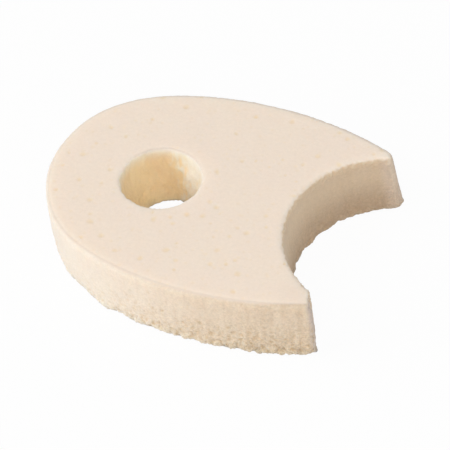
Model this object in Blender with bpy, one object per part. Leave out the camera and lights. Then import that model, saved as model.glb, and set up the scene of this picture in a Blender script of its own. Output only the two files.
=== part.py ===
"""Corn pad: one block of latex foam, cut with a die from a 7 mm sheet.

Seen from above it is an egg: a round end, two long side arcs that close in a
little, and a round bite out of the far end that leaves two horns with blunt,
straight-cut tips. A hole for the corn goes through the round end. The soft
sheet moved under the die, so all walls lean the same way, and they spread a
little towards the underside. The upper edges are soft, and the lower edge of
the outline is torn.

+X runs from the round end to the horns, +Z is the smooth upper face, and the
origin is the middle of the footprint's box, on the underside.
"""

import math

import bmesh
import bpy
from mathutils import Vector, noise

MM = 0.001

# Sheet
THICKNESS = 6.94 * MM
EDGE_RADIUS = 0.40 * MM

# Hole and the foam around it, on the upper face
HOLE_DIAMETER = 8.0 * MM
HOLE_EDGE_RADIUS = 0.15 * MM
BACK_WALL = 7.25 * MM  # foam between the hole and the round end
BRIDGE = 8.99 * MM  # foam between the hole and the bite

# Outline on the upper face
ROUND_END_RADIUS = 11.45 * MM
ROUND_END_SWEEP = math.radians(67.4)  # from the back round to the shoulder
SHOULDER_RADIUS = 25.2 * MM
SHOULDER_SWEEP = math.radians(12.2)
SIDE_RADIUS = 34.3 * MM
BITE_RADIUS = 9.91 * MM

# Horns: how much is cut off the sharp tip, and how round the cut's corners are
TIP_CUT_ANGLE = math.radians(22.0)  # which way both cut tips face, from +X towards +Y
LEFT_TIP_CUT = 0.94 * MM  # the horn at +Y
LEFT_TIP_ROUNDING = 0.20 * MM
RIGHT_TIP_CUT = 2.0 * MM  # the horn at -Y
RIGHT_TIP_ROUNDING = 0.40 * MM

# Walls
LEAN = Vector((0.71 * MM, 0.16 * MM))  # how far the underside has moved
HELD_REACH = 3.5 * MM  # within this of the right tip, the sheet moved less
FLARE = 0.32 * MM  # how far the outer walls spread on the way down
HOLE_CLOSING = 0.29 * MM  # how much the hole's radius shrinks on the way down

# Torn lower edge
TEAR_DEPTH = 0.36 * MM
TEAR_LIFT = 0.20 * MM
TEAR_PITCH = 0.75 * MM
TEAR_HEIGHT = 2.2 * MM  # the tearing has faded out at this height
UNDERSIDE_INSET = 0.45 * MM  # the flat underside starts this far in from the wall

# Fineness of the faces
POINT_SPACING = 0.33 * MM
EDGE_STEPS = 3
TEAR_LEVELS = (0.0, 0.2, 0.5, 1.0)  # shares of the torn height

# Where the horns are narrow, no rounding takes more than this share of their breadth
HORN_SHARE = 0.3

FOAM_COLOUR = (0.87, 0.74, 0.62, 1.0)
FOAM_ROUGHNESS = 0.85

HOLE_RADIUS = HOLE_DIAMETER / 2
ROUND_CENTRE = Vector((ROUND_END_RADIUS - BACK_WALL - HOLE_RADIUS, 0))
BITE_CENTRE = Vector((HOLE_RADIUS + BRIDGE + BITE_RADIUS, 0))
LEFT = 1
RIGHT = -1


def direction(angle):
    return Vector((math.cos(angle), math.sin(angle)))


def angle_of(vector):
    return math.atan2(vector.y, vector.x)


def on_half(point, half):
    """The point of the left half, or its mirror image in the right half."""
    return Vector((point.x, point.y * half))


def shoulder_start():
    return math.pi - ROUND_END_SWEEP


def side_start():
    return shoulder_start() - SHOULDER_SWEEP


def shoulder_centre():
    return ROUND_CENTRE + (ROUND_END_RADIUS - SHOULDER_RADIUS) * direction(shoulder_start())


def side_centre():
    return shoulder_centre() + (SHOULDER_RADIUS - SIDE_RADIUS) * direction(side_start())


def sharp_tip():
    """Where the left side arc and the bite would meet if the horn weren't cut."""
    apart = BITE_CENTRE - side_centre()
    along = (apart.length_squared + SIDE_RADIUS**2 - BITE_RADIUS**2) / (2 * apart.length)
    across = math.sqrt(SIDE_RADIUS**2 - along**2)
    forward = apart.normalized()
    return side_centre() + along * forward + across * Vector((-forward.y, forward.x))


def corner_centre(centre, reach, cut, rounding, half):
    """Centre of a rounding that lies at a reach from a centre and touches the tip's cut."""
    facing = direction(TIP_CUT_ANGLE)
    along_cut = Vector((-facing.y, facing.x)) * half
    cut_line = on_half(sharp_tip(), half).dot(facing) - cut
    depth = cut_line - rounding - centre.dot(facing)
    return centre + depth * facing + math.sqrt(reach**2 - depth**2) * along_cut


def tip_corners(cut, rounding, half):
    """Centres of the roundings of a cut tip, at the side arc and at the bite."""
    side = on_half(side_centre(), half)
    outer = corner_centre(side, SIDE_RADIUS - rounding, cut, rounding, half)
    inner = corner_centre(BITE_CENTRE, BITE_RADIUS + rounding, cut, rounding, half)
    return outer, inner


def arc(centre, radius, start, end):
    """Stations on an arc without its last point: each a point and the way out of the foam.

    An arc whose angle falls is hollow, as the bite is.
    """
    steps = math.ceil(abs(end - start) * radius / POINT_SPACING)
    side = math.copysign(1, end - start)
    stations = []
    for i in range(steps):
        ray = direction(start + (end - start) * i / steps)
        stations.append((centre + radius * ray, side * ray))
    return stations


def cut_face(start, end):
    """Stations on the straight cut of a tip, without its last point."""
    steps = math.ceil((end - start).length / POINT_SPACING)
    outward = direction(TIP_CUT_ANGLE)
    return [(start.lerp(end, i / steps), outward) for i in range(steps)]


def right_tip():
    """Stations round the right tip, from the side arc to the bite."""
    outer, inner = tip_corners(RIGHT_TIP_CUT, RIGHT_TIP_ROUNDING, RIGHT)
    cut_ray = RIGHT_TIP_ROUNDING * direction(TIP_CUT_ANGLE)
    start = angle_of(outer - on_half(side_centre(), RIGHT))
    end = angle_of(BITE_CENTRE - inner)
    stations = arc(outer, RIGHT_TIP_ROUNDING, start, TIP_CUT_ANGLE)
    stations += cut_face(outer + cut_ray, inner + cut_ray)
    stations += arc(inner, RIGHT_TIP_ROUNDING, TIP_CUT_ANGLE, end)
    return stations


def left_tip():
    """Stations round the left tip, from the bite to the side arc."""
    outer, inner = tip_corners(LEFT_TIP_CUT, LEFT_TIP_ROUNDING, LEFT)
    cut_ray = LEFT_TIP_ROUNDING * direction(TIP_CUT_ANGLE)
    start = angle_of(BITE_CENTRE - inner)
    end = angle_of(outer - side_centre())
    stations = arc(inner, LEFT_TIP_ROUNDING, start, TIP_CUT_ANGLE)
    stations += cut_face(inner + cut_ray, outer + cut_ray)
    stations += arc(outer, LEFT_TIP_ROUNDING, TIP_CUT_ANGLE, end)
    return stations


def outline():
    """Stations anticlockwise round the upper face's outline, from the left shoulder."""
    turn = 2 * math.pi
    left_outer, left_inner = tip_corners(LEFT_TIP_CUT, LEFT_TIP_ROUNDING, LEFT)
    right_outer, right_inner = tip_corners(RIGHT_TIP_CUT, RIGHT_TIP_ROUNDING, RIGHT)
    right_side = on_half(side_centre(), RIGHT)
    right_shoulder = on_half(shoulder_centre(), RIGHT)
    stations = arc(ROUND_CENTRE, ROUND_END_RADIUS, shoulder_start(), turn - shoulder_start())
    stations += arc(right_shoulder, SHOULDER_RADIUS, -shoulder_start(), -side_start())
    stations += arc(right_side, SIDE_RADIUS, -side_start(), angle_of(right_outer - right_side))
    stations += right_tip()
    bite_start = angle_of(right_inner - BITE_CENTRE) + turn
    stations += arc(BITE_CENTRE, BITE_RADIUS, bite_start, angle_of(left_inner - BITE_CENTRE))
    stations += left_tip()
    stations += arc(side_centre(), SIDE_RADIUS, angle_of(left_outer - side_centre()), side_start())
    stations += arc(shoulder_centre(), SHOULDER_RADIUS, side_start(), shoulder_start())
    return stations


def breadth(point):
    """Breadth of foam at a point of the outline, from the side to the bite."""
    side = on_half(side_centre(), LEFT if point.y > 0 else RIGHT)
    from_side = SIDE_RADIUS - (point - side).length
    from_bite = (point - BITE_CENTRE).length - BITE_RADIUS
    return from_side + from_bite


def inset_within(point, inset):
    """The inset, or as much of it as a narrow horn has room for."""
    return min(inset, HORN_SHARE * breadth(point))


def unevenness(point, height):
    """A smooth random value from 0 to 1, the same in each build."""
    return 0.5 + 0.5 * noise.noise(Vector((point.x, point.y, height)) / TEAR_PITCH)


def held(point):
    """1 at the right tip, where the sheet couldn't move, and 0 away from it."""
    outer, inner = tip_corners(RIGHT_TIP_CUT, RIGHT_TIP_ROUNDING, RIGHT)
    closeness = max(0, 1 - (point - outer.lerp(inner, 0.5)).length / HELD_REACH)
    return closeness**2 * (3 - 2 * closeness)


def leaned(point, height):
    """The point at its height, moved with the lean of the walls."""
    shifted = point + LEAN * (1 - held(point)) * (1 - height / THICKNESS)
    return Vector((shifted.x, shifted.y, height))


def edge_profile(radius):
    """Inset and height of each ring of a soft upper edge, from the wall to the upper face."""
    rings = []
    for step in range(EDGE_STEPS + 1):
        angle = math.pi / 2 * step / EDGE_STEPS
        inset = radius * (1 - math.cos(angle))
        height = THICKNESS - radius * (1 - math.sin(angle))
        rings.append((inset, height))
    return rings


def outer_rings():
    """Rings of points on the outer wall, from the flat underside to the upper face."""
    stations = outline()

    underside = []
    for point, outward in stations:
        inset = inset_within(point, UNDERSIDE_INSET)
        underside.append(leaned(point + (FLARE - inset) * outward, 0))
    rings = [underside]

    for level in TEAR_LEVELS:
        height = level * TEAR_HEIGHT
        fade = (1 - level) ** 2
        spread = FLARE * (1 - height / THICKNESS)
        ring = []
        for point, outward in stations:
            tear = TEAR_DEPTH * fade * unevenness(point, height)
            lift = TEAR_LIFT * fade * unevenness(point, THICKNESS)
            ring.append(leaned(point + (spread - inset_within(point, tear)) * outward, height + lift))
        rings.append(ring)

    for inset, height in edge_profile(EDGE_RADIUS):
        spread = FLARE * (1 - height / THICKNESS)
        ring = []
        for point, outward in stations:
            ring.append(leaned(point + (spread - inset_within(point, inset)) * outward, height))
        rings.append(ring)
    return rings


def hole_rings():
    """Rings of points on the hole's wall, from the underside to the upper face."""
    stations = arc(Vector((0, 0)), HOLE_RADIUS, 2 * math.pi, 0)
    rings = []
    for inset, height in [(0, 0)] + edge_profile(HOLE_EDGE_RADIUS):
        closing = HOLE_CLOSING * (1 - height / THICKNESS)
        rings.append([leaned(point + (closing - inset) * outward, height) for point, outward in stations])
    return rings


def add_wall(mesh, rings):
    """Faces between the rings. Returns the corners of the lowest and of the highest ring."""
    loops = []
    for ring in rings:
        loops.append([mesh.verts.new(point) for point in ring])
    for lower, upper in zip(loops, loops[1:]):
        for i in range(len(lower)):
            mesh.faces.new((lower[i - 1], lower[i], upper[i], upper[i - 1]))
    return loops[0], loops[-1]


def stretch(loop, start, end):
    """The part of a closed loop from one place to another, both included."""
    count = (end - start) % len(loop) + 1
    return [loop[(start + i) % len(loop)] for i in range(count)]


def add_cap(mesh, outer, hole):
    """A flat face round the hole, split in two behind the hole and ahead of it."""
    outer_back = min(range(len(outer)), key=lambda i: outer[i].co.x)
    hole_back = min(range(len(hole)), key=lambda i: hole[i].co.x)
    hole_front = max(range(len(hole)), key=lambda i: hole[i].co.x)
    ahead = [i for i in range(len(outer)) if outer[i].co.x > hole[hole_front].co.x]
    outer_front = min(ahead, key=lambda i: abs(outer[i].co.y - hole[hole_front].co.y))
    mesh.faces.new(stretch(outer, outer_back, outer_front) + stretch(hole, hole_front, hole_back))
    mesh.faces.new(stretch(outer, outer_front, outer_back) + stretch(hole, hole_back, hole_front))


def centre_on_footprint(mesh):
    """Moves the mesh so that the middle of its box stands over the origin."""
    for axis in (0, 1):
        places = [vertex.co[axis] for vertex in mesh.verts]
        middle = (min(places) + max(places)) / 2
        for vertex in mesh.verts:
            vertex.co[axis] -= middle


def foam_material():
    material = bpy.data.materials.new("latex_foam")
    material.use_nodes = True
    shader = material.node_tree.nodes["Principled BSDF"]
    shader.inputs["Base Color"].default_value = FOAM_COLOUR
    shader.inputs["Roughness"].default_value = FOAM_ROUGHNESS
    shader.inputs["Metallic"].default_value = 0.0
    return material


def build_pad():
    mesh = bmesh.new()
    outer_low, outer_high = add_wall(mesh, outer_rings())
    hole_low, hole_high = add_wall(mesh, hole_rings())
    add_cap(mesh, outer_low, hole_low)
    add_cap(mesh, outer_high, hole_high)
    bmesh.ops.recalc_face_normals(mesh, faces=mesh.faces)
    bmesh.ops.triangulate(mesh, faces=mesh.faces)
    centre_on_footprint(mesh)

    data = bpy.data.meshes.new("foam_pad")
    mesh.to_mesh(data)
    mesh.free()
    data.shade_smooth()
    data.set_sharp_from_angle(angle=math.radians(40))
    data.materials.append(foam_material())
    pad = bpy.data.objects.new("foam_pad", data)
    bpy.context.scene.collection.objects.link(pad)


def clear_scene():
    for item in list(bpy.data.objects):
        bpy.data.objects.remove(item, do_unlink=True)


clear_scene()
build_pad()
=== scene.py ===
# %% [markdown]
# # A corn pad of latex foam
#
# This lesson dresses one small thing: a foam pad, 32 mm long, with a hole for the
# corn and a bite that leaves two horns. The packed CAD solid already has the true
# outline, the lean of its walls and its torn lower edge. What it lacks is foam: the
# cells that a die opens when it cuts through a sheet, the fine skin that the sheet
# has on top, and the way that light sinks in a little and comes out warmer.
#
# The plan is to load the solid, rebuild it as a dense even net, press the cells into
# that net as real dents, and then give it a material that knows where those dents are.

# %% The packed pad
import itertools
import math

import bmesh
import bpy
import numpy as np
from mathutils import Matrix, Vector, noise


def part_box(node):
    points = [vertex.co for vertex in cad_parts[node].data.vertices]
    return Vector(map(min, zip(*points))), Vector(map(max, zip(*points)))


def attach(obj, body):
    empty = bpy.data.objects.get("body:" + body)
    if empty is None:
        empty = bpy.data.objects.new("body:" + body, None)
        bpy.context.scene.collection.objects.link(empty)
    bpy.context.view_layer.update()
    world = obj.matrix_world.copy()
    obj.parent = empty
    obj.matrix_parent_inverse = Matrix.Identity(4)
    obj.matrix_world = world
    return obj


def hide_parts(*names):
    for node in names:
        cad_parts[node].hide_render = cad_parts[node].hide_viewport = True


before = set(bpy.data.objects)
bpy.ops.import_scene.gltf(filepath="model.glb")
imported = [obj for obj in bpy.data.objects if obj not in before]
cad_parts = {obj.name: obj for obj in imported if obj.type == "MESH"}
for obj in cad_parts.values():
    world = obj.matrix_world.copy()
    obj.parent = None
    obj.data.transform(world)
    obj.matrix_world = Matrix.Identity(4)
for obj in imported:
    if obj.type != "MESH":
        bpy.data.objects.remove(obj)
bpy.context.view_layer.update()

MM = 0.001
PAD_LOW, PAD_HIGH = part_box("foam_pad")
THICKNESS = (PAD_HIGH.z - PAD_LOW.z) / MM
print(f"pad {(PAD_HIGH - PAD_LOW).x / MM:.1f} mm long, {THICKNESS:.2f} mm thick")

# %% [markdown]
# ## The camera
#
# A product picture of something this small is taken from far off with a long lens, so
# near and far edges keep almost the same scale. The camera is placed by the two angles
# that one reads off the picture, how high and how far round it stands, and then it is
# rolled a few degrees, because the pad lies a little tilted in the picture.

# %% Camera
CAMERA_ELEVATION = math.radians(47.7)
CAMERA_AZIMUTH = math.radians(25.1)  # from -Y towards +X
CAMERA_ROLL = math.radians(-5.0)
CAMERA_DISTANCE = 294 * MM
CAMERA_SENSOR = 36  # millimetres wide
CAMERA_LENS = 244.3  # millimetres
CAMERA_AIM = Vector((1.89, -1.03, 3.61)) * MM


def camera_axes(elevation, azimuth, roll):
    """The camera's right, up and backward directions."""
    right = Vector((math.cos(azimuth), math.sin(azimuth), 0))
    back = Vector((math.sin(azimuth), -math.cos(azimuth), 0)) * math.cos(elevation)
    back.z = math.sin(elevation)
    turn = Matrix.Rotation(roll, 3, back)
    return turn @ right, turn @ back.cross(right), back


right, up, back = camera_axes(CAMERA_ELEVATION, CAMERA_AZIMUTH, CAMERA_ROLL)
camera_data = bpy.data.cameras.new("camera")
camera_data.lens = CAMERA_LENS
camera_data.sensor_width = CAMERA_SENSOR
camera_data.clip_start = 10 * MM
camera = bpy.data.objects.new("camera", camera_data)
camera.matrix_world = Matrix.Translation(CAMERA_AIM + back * CAMERA_DISTANCE) @ Matrix(
    (right, up, back)
).transposed().to_4x4()
bpy.context.scene.collection.objects.link(camera)
bpy.context.scene.camera = camera
print("camera at", [round(x / MM) for x in camera.matrix_world.translation], "mm")

# %% [markdown]
# ## A dense net over the solid
#
# The CAD solid has a few thousand long triangles, and a dent needs several points of
# its own. Subdividing those triangles would give slivers. A voxel remesh is better: it
# lays an even net of small squares over the same surface, whatever its triangles were.
# The net is made in millimetres, because the remesh rounds very small lengths, and it
# goes back to metres at the end. From here on, plain lengths are millimetres.

# %% Dense copy
VOXEL = 0.135


def with_modifier(data, kind, groups=None, **settings):
    """The mesh that one modifier makes of another mesh."""
    stand = bpy.data.objects.new("stand", data)
    bpy.context.scene.collection.objects.link(stand)
    for name, weights in (groups or {}).items():
        group = stand.vertex_groups.new(name=name)
        for i in np.flatnonzero(weights > 0):
            group.add([int(i)], float(weights[i]), "REPLACE")
    modifier = stand.modifiers.new(kind.lower(), kind)
    for name, value in settings.items():
        setattr(modifier, name, value)
    graph = bpy.context.evaluated_depsgraph_get()
    result = bpy.data.meshes.new_from_object(stand.evaluated_get(graph))
    bpy.data.objects.remove(stand)
    return result


def net_over(node, voxel):
    """A mesh in millimetres with the shape of a CAD node and faces of one even size."""
    mesh = bmesh.new()
    mesh.from_mesh(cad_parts[node].data)
    bmesh.ops.scale(mesh, vec=Vector((1, 1, 1)) / MM, verts=mesh.verts)
    bmesh.ops.remove_doubles(mesh, verts=mesh.verts, dist=0.001)
    data = bpy.data.meshes.new("net")
    mesh.to_mesh(data)
    mesh.free()
    return with_modifier(data, "REMESH", mode="VOXEL", voxel_size=voxel)


net = net_over("foam_pad", VOXEL)
print("net of", len(net.polygons), "faces")

# %% [markdown]
# ## Soft upper edges
#
# Foam that is squeezed under a die springs back with a soft edge. Blender's Smooth
# modifier moves each point towards the mean of its neighbours. Held to the upper edges
# by a vertex group, it rounds them a little more than the solid does, and the flat
# skin, where the mean of the neighbours is the point itself, stays flat. The edge of
# the hole is the softest, the outer edge is firmer, and the two tips are almost sharp,
# so each of these gets a weight of its own.

# %% Soft edges
HOLE_CENTRE = np.array([-4.8, -0.13])  # on the upper face
HOLE_RADIUS = 4.0
TIPS_FROM = 11.5  # along X
EDGE_SOFTNESS = 0.38  # the edge of the hole has 1
TIPS_LESS_SOFT = 0.23
SMOOTH_ROUNDS = 14


def columns(items, name):
    """A property of many items, as rows of three numbers."""
    values = np.empty(len(items) * 3)
    items.foreach_get(name, values)
    return values.reshape(-1, 3)


def fade(values, start, end):
    """0 at start and 1 at end, with soft ends. It falls where end is below start."""
    share = np.clip((values - start) / (end - start), 0, 1)
    return share * share * (3 - 2 * share)


def distance_to(place, places):
    """How far each of the places is from one place."""
    return np.linalg.norm(places - place, axis=1)


points = columns(net.vertices, "co")
near_top = fade(points[:, 2], THICKNESS - 1.1, THICKNESS - 0.5)
at_hole = fade(distance_to(HOLE_CENTRE, points[:, :2]), HOLE_RADIUS + 2, HOLE_RADIUS + 1)
at_tips = fade(points[:, 0], TIPS_FROM, TIPS_FROM + 1.5)
softness = near_top * np.maximum(at_hole, EDGE_SOFTNESS - TIPS_LESS_SOFT * at_tips)
net = with_modifier(
    net, "SMOOTH", {"edge": softness}, iterations=SMOOTH_ROUNDS, factor=0.5, vertex_group="edge"
)
points = columns(net.vertices, "co")
normals = columns(net.vertex_normals, "vector")
height = points[:, 2]
upward = normals[:, 2]
print("heights from", height.min().round(3), "to", height.max().round(3), "mm")

# %% [markdown]
# ## Random cells
#
# Foam is a heap of bubbles that met while the rubber set. A good stand-in for such a
# heap is a point jittered in each cell of a grid: the distance to the nearest point
# is a round dimple, and the gap between the nearest and the second nearest shrinks
# to nothing on the wall between two bubbles. Each bubble also gets a number of its
# own, from 0 to 1, which later decides whether the cut opened it and how deep it is.
# Clouds are the other kind of chance here: soft noise, for all that has no cells. The
# first use of them is to shake the places a little at which the walls ask for their
# bubbles, so that no cell comes out as a perfect ball.
# All draws come from seeds, so each run gives the same pad.

# %% Bubbles and clouds
SHAKE = 0.16


def bubbles(places, size, seed, stretch=(1, 1, 1), scatter=(1, 1, 1)):
    """Distances to the nearest two bubbles, in bubble sizes, and the nearest one's number."""
    scaled = places / (size * np.array(stretch))
    home = np.floor(scaled).astype(int)
    lowest = home.min(0) - 1
    home -= lowest
    scaled = scaled - lowest
    draw = np.random.default_rng(seed)
    shape = tuple(home.max(0) + 2)
    jitter = draw.random((*shape, 3)) * scatter
    numbers = draw.random(shape)
    nearest = np.full(len(places), np.inf)
    second = nearest.copy()
    number = np.zeros(len(places))
    for step in itertools.product((-1, 0, 1), repeat=3):
        cell = home + step
        index = tuple(cell.T)
        distance = np.linalg.norm(cell + jitter[index] - scaled, axis=1)
        closer = distance < nearest
        second = np.where(closer, nearest, np.minimum(second, distance))
        number = np.where(closer, numbers[index], number)
        nearest = np.minimum(nearest, distance)
    return nearest, second, number


def clouds(places, size, seed, octaves=1):
    """Smooth random values around 0, with features of that size."""
    shift = Vector((seed * 7.3, seed * 3.1, seed * 5.7))
    return np.array([noise.fractal(Vector(p) / size + shift, 1.0, 2.0, octaves) for p in places])


shake = np.stack([clouds(points, size=0.5, seed=seed) for seed in (11, 12, 13)], axis=1)
shaken = points + SHAKE * shake
print("shaken by up to", (SHAKE * np.linalg.norm(shake, axis=1)).max().round(2), "mm")

# %% [markdown]
# ## Where the net is what
#
# The same foam looks different by where it was cut. The top is the skin of the sheet,
# closed but for a few pinholes. The outer wall was cut open by the die, finest near
# the skin and coarse at the foot, where the sheet tore. The bite and the hole were
# cut more cleanly. So the net gets masks for these places before it gets any dents.
# The walls lean, so the masks are measured on points that are first pushed back by
# that lean, as if the walls stood upright.

# %% Masks
LEAN = np.array([0.71, 0.16])  # from top to bottom
BITE_CENTRE = np.array([18.1, -0.13])
BITE_RADIUS = 9.9
NEAR_TIP = np.array([14.0, -10.2])
FAR_TIP = np.array([15.6, 9.9])

upright = points[:, :2] - LEAN * (1 - height / THICKNESS)[:, None]
hole_ray = upright - HOLE_CENTRE
from_hole = np.linalg.norm(hole_ray, axis=1)
from_bite = distance_to(BITE_CENTRE, upright)
skin = fade(upward, 0.80, 0.97)
cut = fade(np.abs(upward), 0.90, 0.45)
at_bite = fade(from_bite, BITE_RADIUS + 0.9, BITE_RADIUS + 0.5)
in_hole = cut * fade(from_hole, HOLE_RADIUS + 1.0, HOLE_RADIUS + 0.5)
in_bite = cut * at_bite
outer = cut * (1 - in_hole) * (1 - in_bite)
low = fade(height, 5.2, 0.4)
foot = fade(height, 2.2, 0.2)
near_tip = fade(distance_to(NEAR_TIP, upright), 4.5, 1.5)
far_tip = fade(distance_to(FAR_TIP, upright), 4.0, 1.5)
to_tip = fade(points[:, 0], -12, 12)
print("cut", cut.mean().round(2), "hole", in_hole.mean().round(3), "bite", in_bite.mean().round(3))

# %% [markdown]
# ## Opened cells on the cut walls
#
# Two sizes of bubble make the cut face. The small ones, 0.4 mm across, are everywhere.
# The big ones are rarer, and more of them opened towards the foot and towards the
# tips, where the sheet moved under the die. A dent is a smooth bowl: deep at the
# bubble's centre, flat at its rim. Faint upright grooves are the drag of the blade.
# The whole outer wall also moves out a little, to make up for what the dents take away.

# %% Dents
SMALL_CELL = 0.40
BIG_CELL = 0.54
SMALL_DEPTH = 0.06  # at the foot, and half of it under the skin
BIG_DEPTH = 0.12
CLOUD_DEPTH = 0.05
WAVE_DEPTH = 0.08
GROOVE_DEPTH = 0.036
WALL_OUT = 0.06


def bowls(places, size, seed, opened):
    """Depth of the bowls, from 0 on the struts to 1 in the deepest, where a share opened."""
    nearest, second, number = bubbles(places, size, seed)
    bowl = fade(nearest, 0.75, 0.10)
    strut = fade(second - nearest, 0.02, 0.30)
    return bowl * strut * fade(opened - number, 0.0, 0.30)


fine_clouds = clouds(points, size=0.32, seed=5, octaves=2)
waves = clouds(points, size=1.8, seed=4, octaves=2)
grooves = clouds(points * (1, 1, 0.14), size=0.55, seed=6)
small = bowls(shaken, SMALL_CELL, seed=1, opened=0.50 + 0.45 * low)
big = bowls(shaken, BIG_CELL, seed=2, opened=0.08 + (0.25 + 0.50 * to_tip) * low + 0.35 * foot)

rough = outer * (1 - 0.7 * far_tip) * (0.25 + 0.75 * fade(points[:, 0], -11, -2))
rough += 0.35 * in_bite + 0.25 * in_hole
deeper = 0.5 + 0.5 * low
dent = rough * (SMALL_DEPTH * deeper * small + BIG_DEPTH * deeper * big)
dent += rough * CLOUD_DEPTH * (0.6 + 0.8 * low) * fine_clouds
folds = WAVE_DEPTH * waves * (0.15 + 0.85 * low) + GROOVE_DEPTH * grooves
dent += cut * folds - WALL_OUT * outer
print("wall dents up to", dent.max().round(2), "mm")

# %% [markdown]
# ## The torn foot
#
# The last of the sheet wasn't cut but torn, and it stands as small round lobes with
# creases between them. That is the same bubble pattern read the other way: a lobe is
# round about its bubble's centre, and the creases run where two bubbles are equally
# near. The lobes move sideways only, so the pad still lies flat. The corner under the
# near tip was cut through, so the tear stops short of it.

# %% Lobes
LOBE_SIZE = 0.75
LOBE_DEPTH = 0.44
LOBE_MIDDLE = 0.40  # the share of that depth at which the wall stays where it is
NEAR_CORNER = np.array([14.5, -10.1, 0.0])

sideways = normals * (1, 1, 0)
nearest, _, number = bubbles(shaken, LOBE_SIZE, seed=3, stretch=(1, 1, 0.9))
lobes = fade(nearest, 0.20, 0.85) * (0.5 + 0.5 * number)
crisp = fade(distance_to(NEAR_CORNER, points), 1.6, 0.5)
tear = foot * (outer * (0.35 + 0.65 * to_tip) + 0.45 * in_bite) * (1 - far_tip)
tear = np.maximum(tear, at_bite * np.maximum(0.5 * near_tip, 0.25) * foot) * (1 - crisp)
shift = -normals * dent[:, None] - sideways * (LOBE_DEPTH * tear * (lobes - LOBE_MIDDLE))[:, None]
print("lobes reach", (LOBE_DEPTH * tear * lobes).max().round(2), "mm in")

# %% [markdown]
# ## The edges of the bite
#
# The skin along the bite swelled a little over the edge, unevenly, so its rim is moved
# towards the middle of the bite with some clouds in it. At the near tip the skin broke
# off in crumbs, and its edge is a fringe. At the foot, the far half of the bite stands
# out and the near half is drawn in. The small end face of the near tip is drawn in too.

# %% Bite and near tip
SKIN_SWELL = 0.12
FRINGE_DEPTH = 0.24
FOOT_OUT = 0.30
FOOT_IN = 0.10
END_IN = 0.06

fringe = clouds(points, size=0.26, seed=17)
fringe *= (1 - skin) * near_tip * fade(normals[:, 1], -0.4, 0.2) * fade(height, 4.6, 6.0)
bite_foot = in_bite * foot * (FOOT_OUT * fade(points[:, 1], 0, 3) - FOOT_IN)
facing_x = fade(normals[:, 0], 0.45, 0.85)
end_in = END_IN * outer * near_tip * facing_x
shift += sideways * (FRINGE_DEPTH * fringe + bite_foot - end_in)[:, None]

to_bite = (BITE_CENTRE - upright) / from_bite[:, None]
at_bite_rim = fade(from_bite, BITE_RADIUS + 1.2, BITE_RADIUS + 0.2)
at_bite_rim *= fade(height, THICKNESS - 1.8, THICKNESS - 0.3)
shift[:, :2] += to_bite * ((SKIN_SWELL + SKIN_SWELL * fine_clouds) * at_bite_rim)[:, None]
print("fringe moves up to", (FRINGE_DEPTH * np.abs(fringe)).max().round(2), "mm")

# %% [markdown]
# ## The punched hole
#
# The hole was punched, not turned. The foam on the near side swelled back in over the
# edge, so the hole looks a little flattened there. Its wall has soft lumps and, low
# down, the flutes of a blunt punch. On its right side, the wall bellies in below the
# rim, and flakes of foam stand on it. That side is where the main lamp reaches in, and
# the material keeps it pale cream as painted light. The rim on the left is a little
# ragged.

# %% Hole
NEAR_SIDE = np.array([0.42, -0.91])
RIGHT_SIDE = np.array([0.77, 0.64])
SWELL_IN = 0.26
BELLY_IN = 0.62
FOOT_OF_HOLE_IN = 0.08
LUMP_DEPTH = 0.05  # at the rim, and twice as much below it
FLAKE_DEPTH = 0.05
FLUTE_DEPTH = 0.04
RAGGED_RIM = 0.11
RIM_MOVE = np.array([-0.11, -0.05])

outward = hole_ray / from_hole[:, None]
rightward = outward @ RIGHT_SIDE
round_hole = fade(from_hole, HOLE_RADIUS + 1.4, HOLE_RADIUS + 0.2)
below_rim = fade(height, THICKNESS - 0.1, THICKNESS - 1.6)
swell = fade(outward @ NEAR_SIDE, 0.0, 1.0) * fade(from_hole, HOLE_RADIUS + 1.8, HOLE_RADIUS)
swell *= fade(height, 2.5, 5.5)
lumps = clouds(points * (1, 1, 0.6), size=0.9, seed=8, octaves=3)
flakes = clouds(points * (1, 1, 0.4), size=0.42, seed=14, octaves=2)
along_wall = np.stack([outward[:, 0], outward[:, 1], height * 0.03], axis=1)
flutes = clouds(along_wall, size=0.16, seed=9)
# The hole's right wall, where the main lamp reaches in: a mask for the flakes, and in the material
# painted light, a pale cream.
lit_right_wall = fade(rightward + 0.30 * flakes + 0.16 * lumps, 0.48, 0.90)
left_rim = round_hole * fade(rightward, 0.3, -0.3)
belly = fade(height, THICKNESS, 2.4) - 0.30 * fade(height, 2.0, 0.2)
belly *= fade(rightward, 0.35, 0.95)

lumpy = LUMP_DEPTH + LUMP_DEPTH * below_rim
wall_in = BELLY_IN * belly + FOOT_OF_HOLE_IN * foot + lumpy * lumps
wall_in += FLAKE_DEPTH * lit_right_wall * below_rim * flakes
inward = SWELL_IN * swell + round_hole * wall_in
inward += round_hole * FLUTE_DEPTH * flutes * fade(height, 4.5, 1.0)
inward += RAGGED_RIM * left_rim * flakes * fade(height, THICKNESS - 1.6, THICKNESS - 0.3)
shift[:, :2] -= outward * inward[:, None]
shift[:, :2] += RIM_MOVE * fade(from_hole, 6.5, 4.2)[:, None]
print("hole wall moves", inward.min().round(2), "to", inward.max().round(2), "mm in")

# %% [markdown]
# ## Pinholes in the skin
#
# The skin is nearly closed. It has a very fine grain, and a scatter of pinholes where
# a bubble touched the mould. They are shallow, but they catch the eye, because the
# foam inside is yellower than the skin.

# %% Pinholes
WIDE_DEPTH = 0.06
FINE_DEPTH = 0.025
SKIN_WAVE = 0.012
SKIN_GRAIN = 0.01


def pinholes(places, spacing, seed, share, radius):
    """Shallow soft holes in a share of the cells, 1 at the middle and 0 outside."""
    nearest, _, number = bubbles(places * (1, 1, 0), spacing, seed, scatter=(1, 1, 0))
    own_radius = radius * (0.6 + 0.8 * number / share)
    return np.clip(1 - nearest / own_radius, 0, 1) ** 0.7 * (number < share)


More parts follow.
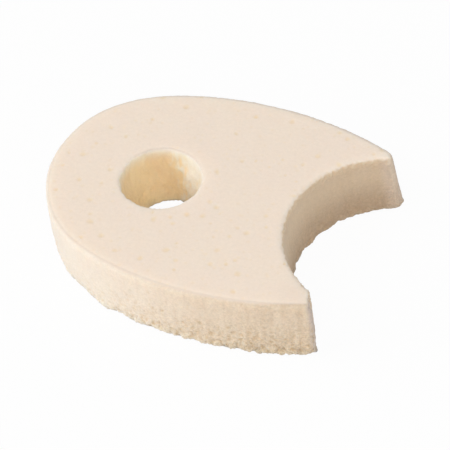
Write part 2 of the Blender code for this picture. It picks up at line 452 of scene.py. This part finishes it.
wide_pinholes = pinholes(points + 0.08 * shake, spacing=1.6, seed=21, share=0.30, radius=0.17)
fine_pinholes = pinholes(points + 0.05 * shake, spacing=0.7, seed=22, share=0.30, radius=0.24)
skin_waves = clouds(points, size=2.6, seed=10, octaves=2)
pit = WIDE_DEPTH * wide_pinholes + FINE_DEPTH * fine_pinholes + SKIN_WAVE * skin_waves
pit += SKIN_GRAIN * fine_clouds
shift -= normals * (skin * pit)[:, None]
print("pinholes cover", (wide_pinholes > 0.1).mean().round(4), "of the net")

# %% [markdown]
# ## Corners and trims
#
# The lower corner of each tip is sharp on the real pad, for the sheet was cut there and
# not torn. A pull moves what is near one place a little way, and fades with distance,
# which is how one would pinch clay. The same pulls make the notch beside the near
# tip's lower corner, break that tip's upper corner, and trim the outline where the
# foam gave way unevenly under the die. Each says where it acts, how far it moves
# things, and how far it reaches.

# %% Pulls
def pull(place, by, reach):
    """A move that is whole at a place and fades out at its reach, sooner upwards."""
    distance = np.linalg.norm((points - np.array(place)) * (1, 1, 1.6), axis=1)
    return fade(distance, reach, 0.1)[:, None] * np.array(by)


# The far tip's lower corner.
shift += pull((15.85, 9.9, 0.0), by=(0.10, 0.24, 0.00), reach=1.6)
shift += pull((16.04, 9.83, 0.0), by=(-0.16, 0.26, 0.00), reach=1.0)
# The near tip's lower corner, the notch beside it, and its upper corner.
shift += pull((14.45, -10.2, 0.0), by=(0.32, 0.14, -0.10), reach=0.9)
shift += pull((14.45, -10.5, 0.0), by=(0.04, -0.22, 0.00), reach=0.5)
shift += pull((13.95, -10.6, 0.0), by=(0.00, 0.50, 0.00), reach=0.7)
shift += pull((13.80, -9.70, 6.2), by=(-0.32, 0.00, 0.00), reach=1.5)
# The upper edge of the round end, behind and in front.
shift += pull((-14.5, 6.2, 6.6), by=(-0.08, 0.08, 0.00), reach=5.5)
shift += pull((-14.6, -5.2, 6.6), by=(0.05, 0.03, 0.00), reach=4.0)
# The foot of the front wall, from the round end on.
shift += pull((-9.9, -9.6, 0.0), by=(0.13, 0.15, 0.00), reach=2.4)
shift += pull((-6.6, -11.5, 0.0), by=(-0.10, -0.34, 0.00), reach=1.8)
shift += pull((-2.6, -12.4, 0.0), by=(0.00, -0.16, 0.00), reach=1.5)
points_out = points + shift
points_out[:, 2] = np.clip(points_out[:, 2], 0, None)
net.vertices.foreach_set("co", (points_out * MM).ravel())
print("points moved up to", np.linalg.norm(shift, axis=1).max().round(2), "mm")

# %% [markdown]
# ## What the material has to know
#
# A shader sees one place at a time and can't ask whether that place is a hollow or a
# strut, so each point of the net keeps the answer as a named attribute. Most are masks
# from 0 to 1 that are at hand already. A few are new. Cut gets a border that is ragged
# at the hole's left rim and lies further over the edge at the near tip. The rim shade is
# painted shade on the rounded rim of the skin, to darken the highlight that the lamps
# put along that rounding, most where it faces the front. Facet is the cut end of a tip.
# The facing light is painted light and shade by which way a place faces: the near half
# of the bite is lighter, and the hole's far wall and the skin of the near tip are
# darker, so it also goes below 0. The hollows and the depth in the hole carry painted
# shade and a painted glow in the material. The far tip's place was read off at the
# foot, so on the upright walls its end face is a lean away from there.

# %% Attributes
upper = height > 0.5 * THICKNESS
level_part = np.maximum(np.linalg.norm(normals[:, :2], axis=1), 0.001)
facing_front = fade(-normals[:, 1] / level_part, 0.3, 0.8)
# Painted shade on the rounded rim of the skin, to darken the highlight that the lamps put on that
# rounding.
painted_rim_shade = 0.55 * fade(upward, 0.05, 0.50) * fade(upward, 1.0, 0.93)
painted_rim_shade += 0.22 * facing_front * fade(upward, 0.55, 0.92) * fade(upward, 1.0, 0.965)
painted_rim_shade *= (1 - 0.85 * at_bite) * upper
painted_rim_shade *= 1 - round_hole * fade(outward[:, 1], 0.8, 0.2)

edge_slope = np.abs(upward) + 0.5 * left_rim * flakes * upper
edge_slope = 1 - (1 - edge_slope) * (1 + 1.4 * near_tip * upper)
# The dents and creases, which the material darkens as painted shade.
hollow = rough * (0.75 * small * (0.35 + 0.65 * low) + 0.8 * big) + 0.3 * foot * tear * lobes
far_end = 0.6 * cut * fade(np.linalg.norm(upright - FAR_TIP + LEAN, axis=1), 1.6, 0.7)
far_wall = fade(outward[:, 1], 0.50, 0.85) * fade(outward[:, 0], 0.10, -0.35)
# How far down the hole, without the lit right wall: it carries the painted glow of light that
# passed through the foam.
deep_glow = in_hole * fade(height, THICKNESS + 0.4, THICKNESS - 1.6) * (1 - 0.85 * lit_right_wall)
# Painted light and shade by which way a place faces.
painted_facing_light = in_bite * fade(points[:, 1], 4, -3) + in_hole * -0.6 * far_wall
painted_facing_light -= 0.5 * (1 - cut) * near_tip

attributes = {
    "cut": fade(edge_slope, 0.90, 0.45),
    "low": low,
    "hollow": np.clip(hollow, 0, 1),
    "pinhole": skin * np.clip(wide_pinholes + 0.45 * fine_pinholes, 0, 1),
    "inner": in_hole,
    "deep_glow": deep_glow,
    "bite": in_bite * (1 - far_end),
    "to_tip": to_tip,
    "painted_rim_shade": painted_rim_shade,
    "streak": np.clip(0.5 + 0.9 * grooves + 0.3 * waves, 0, 1),
    "facet": np.maximum(outer * near_tip * facing_x, far_end),
    "painted_facing_light": painted_facing_light,
}
for name, values in attributes.items():
    attribute = net.attributes.new(name, "FLOAT", "POINT")
    attribute.data.foreach_set("value", values.astype(np.float32))
print("attributes:", ", ".join(attributes))

# %% [markdown]
# ## Fewer faces where nothing shows
#
# The underside lies on the table and is flat. A decimate modifier that works through
# a vertex group takes most of its faces away and leaves the walls and the skin alone.
# The attributes come through it unharmed.

# %% Thinning
FACES_KEPT = 0.80

beneath = fade(upward, -0.90, -0.99) * (height < 0.02)
net = with_modifier(
    net, "DECIMATE", {"beneath": beneath}, ratio=FACES_KEPT, vertex_group="beneath"
)
net.shade_smooth()
pad = bpy.data.objects.new("pad_foam", net)
bpy.context.scene.collection.objects.link(pad)
print("pad of", sum(len(p.vertices) - 2 for p in net.polygons), "triangles")

# %% [markdown]
# ## Sums for shaders
#
# A material is a graph of nodes, but most of it is plain arithmetic, and arithmetic
# reads best as arithmetic. The class below wraps a socket, so that `1 - mask * 0.3`
# adds the Math nodes by itself. Everything that isn't a sum comes from one method of
# the Recipe: it takes a node's type, then its settings, then what feeds its sockets.

# %% Field and Recipe
class Field:
    """A shader socket that takes part in Python sums."""

    def __init__(self, recipe, socket):
        self.recipe = recipe
        self.socket = socket

    def _sum(self, operation, first, second):
        return self.recipe.node("ShaderNodeMath", {"operation": operation}, {0: first, 1: second})

    def __add__(self, other):
        return self._sum("ADD", self, other)

    def __radd__(self, other):
        return self._sum("ADD", other, self)

    def __sub__(self, other):
        return self._sum("SUBTRACT", self, other)

    def __rsub__(self, other):
        return self._sum("SUBTRACT", other, self)

    def __mul__(self, other):
        return self._sum("MULTIPLY", self, other)

    def __rmul__(self, other):
        return self._sum("MULTIPLY", other, self)


class Recipe:
    """A material under construction."""

    def __init__(self, name):
        self.material = bpy.data.materials.new(name)
        self.material.use_nodes = True
        self.tree = self.material.node_tree
        self.tree.nodes.clear()

    def node(self, kind, settings=None, feeds=None, output=0):
        """Adds a node, sets it up, feeds its sockets, and returns one of its outputs."""
        node = self.tree.nodes.new(kind)
        for name, value in (settings or {}).items():
            setattr(node, name, value)
        for name, value in (feeds or {}).items():
            if isinstance(value, Field):
                self.tree.links.new(value.socket, node.inputs[name])
            else:
                node.inputs[name].default_value = value
        return Field(self, node.outputs[output]) if node.outputs else None

    def blend(self, share, first, second):
        """A colour that goes from the first to the second."""
        feeds = {0: share, 6: first, 7: second}
        return self.node("ShaderNodeMix", {"data_type": "RGBA"}, feeds, output=2)

    def attribute(self, name):
        """A number that the mesh keeps at each point."""
        return self.node("ShaderNodeAttribute", {"attribute_name": name}, output="Fac")

    def clouds(self, place, per_mm, detail):
        """Soft noise around 0.5, with so many features to a millimetre."""
        feeds = {"Vector": place, "Scale": per_mm / MM, "Detail": detail}
        return self.node("ShaderNodeTexNoise", feeds=feeds)


print("a recipe has:", ", ".join(name for name in vars(Recipe) if name[0] != "_"))

# %% [markdown]
# ## The colours of the foam
#
# Latex foam is a warm cream. The skin drifts between a pinkish and a yellowish cream
# over some millimetres. The cut face is yellower than the skin, because one looks into
# the rubber itself, and it is browner towards the tips, where the cells are coarser.
# The hollows are darker still, since light that gets out of a hollow has met more foam
# on its way: that is painted shade, over the shade that the dents cast. The inside of
# the hole is amber, partly the yellow of the cut foam and partly a painted glow of light
# that passed through the foam, and its cream rim and right side are painted light where
# the lamps reach in. The wall of the bite goes from tan to brown towards its foot, which
# is painted shade, for that wall faces away from the main light and is darkest at its
# foot. The rim shade is painted shade on the rounded rim of the skin. The other colours
# are what white light would bring back from the foam.

# %% Colours
SKIN_PINK = (0.870, 0.745, 0.640, 1)
SKIN_YELLOW = (0.883, 0.762, 0.636, 1)
PINHOLE_AMBER = (0.850, 0.690, 0.470, 1)
# The rim shade is the colour of the painted shade on the rounded rim of the skin.
RIM_SHADE = (0.120, 0.085, 0.090, 1)
CUT_PALE = (0.920, 0.802, 0.684, 1)
CUT_TAN = (0.795, 0.645, 0.490, 1)
FOOT_TAN = (0.690, 0.542, 0.388, 1)
STREAK_CREAM = (0.930, 0.820, 0.670, 1)
FACET_ROSE = (0.630, 0.522, 0.452, 1)
# The two hollow colours are painted shade in the dents.
HOLLOW_SHADE_AMBER = (0.800, 0.620, 0.400, 1)
HOLLOW_SHADE_TAN = (0.675, 0.520, 0.340, 1)
# The cream is painted light on the hole's upper rim and lit right wall; the amber below is the cut
# foam's yellow with a painted glow of light through the foam.
LIT_RIM_CREAM = (0.995, 0.915, 0.820, 1)
HOLE_GLOW_AMBER = (0.995, 0.774, 0.492, 1)
# The bite's tan to brown is painted shade: its wall faces away from the main light and is darkest
# at its foot.
BITE_SHADE_TAN = (0.700, 0.545, 0.382, 1)
BITE_FOOT_SHADE_BROWN = (0.435, 0.300, 0.195, 1)
# How much of such a colour goes over what is there, at most.
PINHOLE_SHARE = 0.8
STREAK_SHARE = 0.34
FACET_SHARE = 0.9
BITE_SHADE_SHARE = 0.8
HOLLOW_SHADE_SHARE = 0.85
RIM_SHARE = 0.22


def skin_colour(recipe, place, here):
    """The closed skin with its pinholes."""
    drift = recipe.clouds(place, per_mm=0.16, detail=2.0)
    colour = recipe.blend(drift, SKIN_PINK, SKIN_YELLOW)
    return recipe.blend(here["pinhole"] * PINHOLE_SHARE, colour, PINHOLE_AMBER)


def cut_colour(recipe, here):
    """The cut face: outer wall, bite, hole, and the hollows in all of them, with painted shade in
    the bite and the hollows, and painted light and glow in the hole.
    """
    to_tip = here["to_tip"]
    tanned = (here["low"] * 0.45 + 0.52) * to_tip * to_tip * 0.90
    colour = recipe.blend(to_tip, CUT_PALE, CUT_TAN)
    colour = recipe.blend(tanned, colour, FOOT_TAN)
    colour = recipe.blend(here["streak"] * STREAK_SHARE, colour, STREAK_CREAM)
    colour = recipe.blend(here["facet"] * FACET_SHARE, colour, FACET_ROSE)
    # Painted shade on the bite wall, darker towards its foot.
    bite_shade_colour = recipe.blend(here["low"], BITE_SHADE_TAN, BITE_FOOT_SHADE_BROWN)
    colour = recipe.blend(here["bite"] * BITE_SHADE_SHARE, colour, bite_shade_colour)
    # Painted glow deep in the hole, and painted light on its rim and lit right wall.
    hole_glow_colour = recipe.blend(here["deep_glow"], LIT_RIM_CREAM, HOLE_GLOW_AMBER)
    colour = recipe.blend(here["inner"], colour, hole_glow_colour)
    # Painted shade in the hollows.
    hollow_colour = recipe.blend(to_tip, HOLLOW_SHADE_AMBER, HOLLOW_SHADE_TAN)
    return recipe.blend(here["hollow"] * HOLLOW_SHADE_SHARE, colour, hollow_colour)


print("skin from", SKIN_PINK[:3], "to", SKIN_YELLOW[:3])

# %% [markdown]
# ## The finish of the foam
#
# Every part of the pad has a grain far finer than the net. Four patterns make it: a
# soft grain, upright fibres, crumbs, and cells. They lighten and darken the colour,
# most on the coarse cut near the tips. All but the fibres are pressed in as bump too,
# so that a dark crumb is also a hollow one. The foam is matt all over. A little
# subsurface scattering softens its edges, as in any pale rubber: red light goes
# furthest, so the shadows turn warm.

# %% Foam material
CELLS_PER_MM = 5.0
BUMP_STRENGTH = 0.5
BUMP_DEPTH = 0.05 * MM
GLOSS_LEVEL = 0.25
SCATTER_SHARE = 0.7
SCATTER_DEPTH = 1.4 * MM
SCATTER_REACH = (1.0, 0.90, 0.80)  # of red, green and blue


def foam_material():
    """Latex foam, driven by the attributes of the net."""
    recipe = Recipe("latex_foam")
    place = recipe.node("ShaderNodeTexCoord", output="Object")
    here = {name: recipe.attribute(name) for name in attributes}
    drawn_out = recipe.node(
        "ShaderNodeVectorMath", {"operation": "MULTIPLY"}, {0: place, 1: (1, 1, 0.3)}
    )
    grain = recipe.clouds(place, per_mm=3.0, detail=2.0)
    crumbs = recipe.clouds(place, per_mm=5.5, detail=1.0)
    fibres = recipe.clouds(drawn_out, per_mm=2.2, detail=2.0)
    cell_feeds = {"Vector": place, "Scale": CELLS_PER_MM / MM}
    cells = recipe.node("ShaderNodeTexVoronoi", feeds=cell_feeds, output="Distance")
    colour = recipe.blend(here["cut"], skin_colour(recipe, place, here), cut_colour(recipe, here))
    # Painted shade on the rounded rim of the skin.
    colour = recipe.blend(here["painted_rim_shade"] * RIM_SHARE, colour, RIM_SHADE)

    coarse = here["cut"] * (1 - 0.6 * here["bite"] - 0.7 * here["inner"])
    coarse = coarse * (0.20 + 0.80 * here["to_tip"])
    speck = (grain - 0.5) * (0.08 + 0.08 * coarse)
    speck = speck + (fibres - 0.5) * 0.18 * coarse + (0.5 - cells) * 0.13 * coarse
    speck = speck + (crumbs - 0.5) * (0.05 + coarse * (0.15 + 0.52 * here["low"]))
    # Painted light and shade by which way the place faces.
    speck = speck + 1.0 + 0.07 * here["painted_facing_light"]
    shaded = recipe.node(
        "ShaderNodeVectorMath", {"operation": "SCALE"}, {"Vector": colour, "Scale": speck}
    )

    relief = grain + crumbs * here["low"] + (1 - cells) * 0.6 * here["cut"]
    relief = relief * (0.25 + 0.75 * here["cut"])
    bump_feeds = {"Height": relief, "Strength": BUMP_STRENGTH, "Distance": BUMP_DEPTH}
    bump = recipe.node("ShaderNodeBump", feeds=bump_feeds)
    shader = recipe.node(
        "ShaderNodeBsdfPrincipled",
        feeds={
            "Base Color": shaded,
            "Roughness": 0.78 + grain * 0.2,
            "Normal": bump,
            "Specular IOR Level": GLOSS_LEVEL,
            "Subsurface Weight": SCATTER_SHARE,
            "Subsurface Radius": SCATTER_REACH,
            "Subsurface Scale": SCATTER_DEPTH,
        },
    )
    recipe.node("ShaderNodeOutputMaterial", feeds={"Surface": shader})
    return recipe.material


pad.data.materials.clear()
pad.data.materials.append(foam_material())
print("material", pad.data.materials[0].name)

# %% [markdown]
# ## The table
#
# The picture has a plain white ground. The floor is a matt white plane, large enough
# to fill the view, and it keeps the pad's soft shadow. Where the camera looks at it,
# straight or by way of a mirror or a glass, most of its light is its own, so that the
# ground comes out white without any more light on the pad.

# %% Floor
FLOOR_PALE = (0.80, 0.80, 0.80, 1)
FLOOR_OWN_LIGHT = 0.95
FLOOR_HALF_WIDTH = 2.0  # metres
FLOOR_GAP = 0.01 * MM


def floor_material():
    """Matt white, which shines by itself where it is looked at."""
    recipe = Recipe("white_floor")
    matt = recipe.node("ShaderNodeBsdfDiffuse", feeds={"Color": FLOOR_PALE})
    own = recipe.node("ShaderNodeEmission", feeds={"Color": (1, 1, 1, 1), "Strength": 1.0})
    seen = recipe.node("ShaderNodeLightPath", output="Is Camera Ray")
    for ray in ("Is Glossy Ray", "Is Transmission Ray"):
        seen = seen + recipe.node("ShaderNodeLightPath", output=ray)
    shader = recipe.node(
        "ShaderNodeMixShader", feeds={0: seen * FLOOR_OWN_LIGHT, 1: matt, 2: own}
    )
    recipe.node("ShaderNodeOutputMaterial", feeds={"Surface": shader})
    return recipe.material


def square(half, level):
    """The four corners of a level square round the origin."""
    return [(x * half, y * half, level) for x, y in ((-1, -1), (1, -1), (1, 1), (-1, 1))]


floor_data = bpy.data.meshes.new("floor")
floor_data.from_pydata(square(FLOOR_HALF_WIDTH, PAD_LOW.z - FLOOR_GAP), [], [(0, 1, 2, 3)])
floor = bpy.data.objects.new("floor", floor_data)
floor.data.materials.append(floor_material())
bpy.context.scene.collection.objects.link(floor)
print("floor", 2 * FLOOR_HALF_WIDTH, "m wide")

# %% [markdown]
# ## The light
#
# The pad's left wall is its brightest face and the wall of the bite its darkest, so the
# main light is a big soft one, rather low on the left. A second one stands behind the
# camera, a little higher, and reaches the front wall and into the hole, and an even
# white world fills the rest. A lamp's level says how bright it makes a face that looks
# straight at it: at 1, a colour comes out as it is written.

# %% Lights
WORLD_LEVEL = 0.51


def soft_light(name, azimuth, elevation, distance, size, level):
    """A square light that looks at the pad. Its azimuth goes from -Y towards +X."""
    a = math.radians(azimuth)
    e = math.radians(elevation)
    ray = Vector((math.sin(a) * math.cos(e), -math.cos(a) * math.cos(e), math.sin(e)))
    lamp_data = bpy.data.lights.new(name, "AREA")
    lamp_data.size = size
    lamp_data.energy = level * (math.pi * distance) ** 2
    lamp = bpy.data.objects.new(name, lamp_data)
    lamp.location = ray * distance
    lamp.rotation_euler = ray.to_track_quat("Z", "Y").to_euler()
    bpy.context.scene.collection.objects.link(lamp)
    return lamp


key = soft_light("key", azimuth=-68, elevation=33, distance=0.5, size=0.35, level=0.42)
front = soft_light("front", azimuth=27, elevation=50, distance=0.6, size=0.30, level=0.37)
world = bpy.data.worlds.new("world")
world.use_nodes = True
background = world.node_tree.nodes["Background"]
background.inputs["Color"].default_value = (1, 1, 1, 1)
background.inputs["Strength"].default_value = WORLD_LEVEL
bpy.context.scene.world = world
bpy.context.scene.view_settings.view_transform = "Standard"
print("lamps of", round(key.data.energy, 2), "and", round(front.data.energy, 2), "W")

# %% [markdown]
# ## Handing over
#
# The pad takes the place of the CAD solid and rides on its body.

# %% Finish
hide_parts("foam_pad")
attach(pad, "root")
